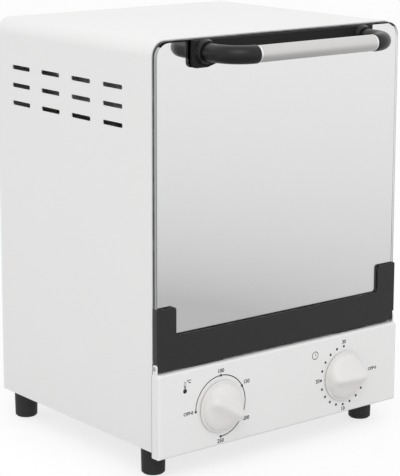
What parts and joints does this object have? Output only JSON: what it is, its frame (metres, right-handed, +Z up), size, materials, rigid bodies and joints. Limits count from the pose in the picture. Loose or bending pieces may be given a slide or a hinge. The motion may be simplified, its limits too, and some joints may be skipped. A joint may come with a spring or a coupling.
{
  "type": "dry heat sterilizer",
  "caption": "Small upright dry heat sterilizer with a drop-down mirror glass door, tube handle, control panel with temperature and timer knobs, and an instrument tray on a wire rack.",
  "frame": {"origin": "on the surface that the feet stand on, under the centre of the whole outline", "axes": "+X to the right as seen from the front, +Y to the rear, +Z up"},
  "size_m": [0.2438, 0.2618, 0.3288],
  "materials": {
    "white_enamel": "smooth baked white paint",
    "plain_steel": "zinc-plated sheet",
    "chamber_steel": "stainless sheet",
    "screw_steel": "plated",
    "black_moulding": "fine moulded grain",
    "terminal_plastic": "moulded",
    "ceramic": "unglazed steatite",
    "heater_sheath": "oxidised steel tube",
    "timer_case": "plated",
    "knob_cream": "moulded, low gloss",
    "mirror_glass": "mirror-coated tempered pane, polished",
    "black_enamel": "satin black",
    "bar_aluminium": "satin anodised",
    "washer_fibre": "fibre washer",
    "rack_chrome": "bright plated wire",
    "tray_aluminium": "drawn sheet"
  },
  "bodies": {
    "cabinet": {"case_shell": "white_enamel", "base_plate": "plain_steel", "back_panel": "white_enamel", "back_screws": "screw_steel", "foot_front_left": "black_moulding", "foot_front_right": "black_moulding", "foot_rear_left": "black_moulding", "foot_rear_right": "black_moulding", "foot_screws": "screw_steel", "foot_nuts": "screw_steel", "cord_gland": "black_moulding", "gland_nut": "black_moulding", "terminal_block": "terminal_plastic", "control_panel": "white_enamel", "panel_screws": "screw_steel", "front_frame": "plain_steel", "chamber_wall_left": "chamber_steel", "chamber_wall_right": "chamber_steel", "chamber_ceiling": "chamber_steel", "chamber_floor": "chamber_steel", "chamber_back": "chamber_steel", "heat_shield": "plain_steel", "rear_support_left": "plain_steel", "rear_support_right": "plain_steel", "upper_heater_front": "heater_sheath", "upper_heater_rear": "heater_sheath", "lower_heater_front": "heater_sheath", "lower_heater_rear": "heater_sheath", "heater_caps_left": "ceramic", "heater_caps_right": "ceramic", "thermostat_body": "terminal_plastic", "timer_body": "timer_case", "timer_bell": "timer_case", "dial_screws": "screw_steel"},
    "door": {"door_glass": "mirror_glass", "door_bracket": "black_enamel", "hinge_pin_left": "screw_steel", "hinge_pin_right": "screw_steel", "handle_base": "black_moulding", "handle_end_left": "black_moulding", "handle_end_right": "black_moulding", "handle_bar": "bar_aluminium", "handle_screws": "screw_steel", "handle_washers": "washer_fibre"},
    "temperature_dial": {"temperature_knob": "knob_cream", "thermostat_spindle": "timer_case"},
    "timer_dial": {"timer_knob": "knob_cream", "timer_spindle": "timer_case"},
    "shelf": {"wire_rack": "rack_chrome", "instrument_tray": "tray_aluminium"}
  },
  "joints": [
    {"name": "door_hinge", "type": "hinge", "parent": "cabinet", "child": "door", "pos_m": [0, -0.08663, 0.0882], "axis": [1, 0, 0], "range_deg": [0, 90]},
    {"name": "temperature_turn", "type": "hinge", "parent": "cabinet", "child": "temperature_dial", "pos_m": [-0.063, -0.09243, 0.0498], "axis": [0, 1, 0], "range_deg": [-210, 60]},
    {"name": "timer_turn", "type": "hinge", "parent": "cabinet", "child": "timer_dial", "pos_m": [0.063, -0.09243, 0.0498], "axis": [0, 1, 0], "range_deg": [0, 270]},
    {"name": "rack_slide", "type": "slide", "parent": "cabinet", "child": "shelf", "axis": [0, -1, 0], "range_m": [0, 0.12]}
  ],
  "couplings": [
    {"joint": "rack_slide", "follows": "door_hinge", "m_per_rad": 0.0763}
  ]
}
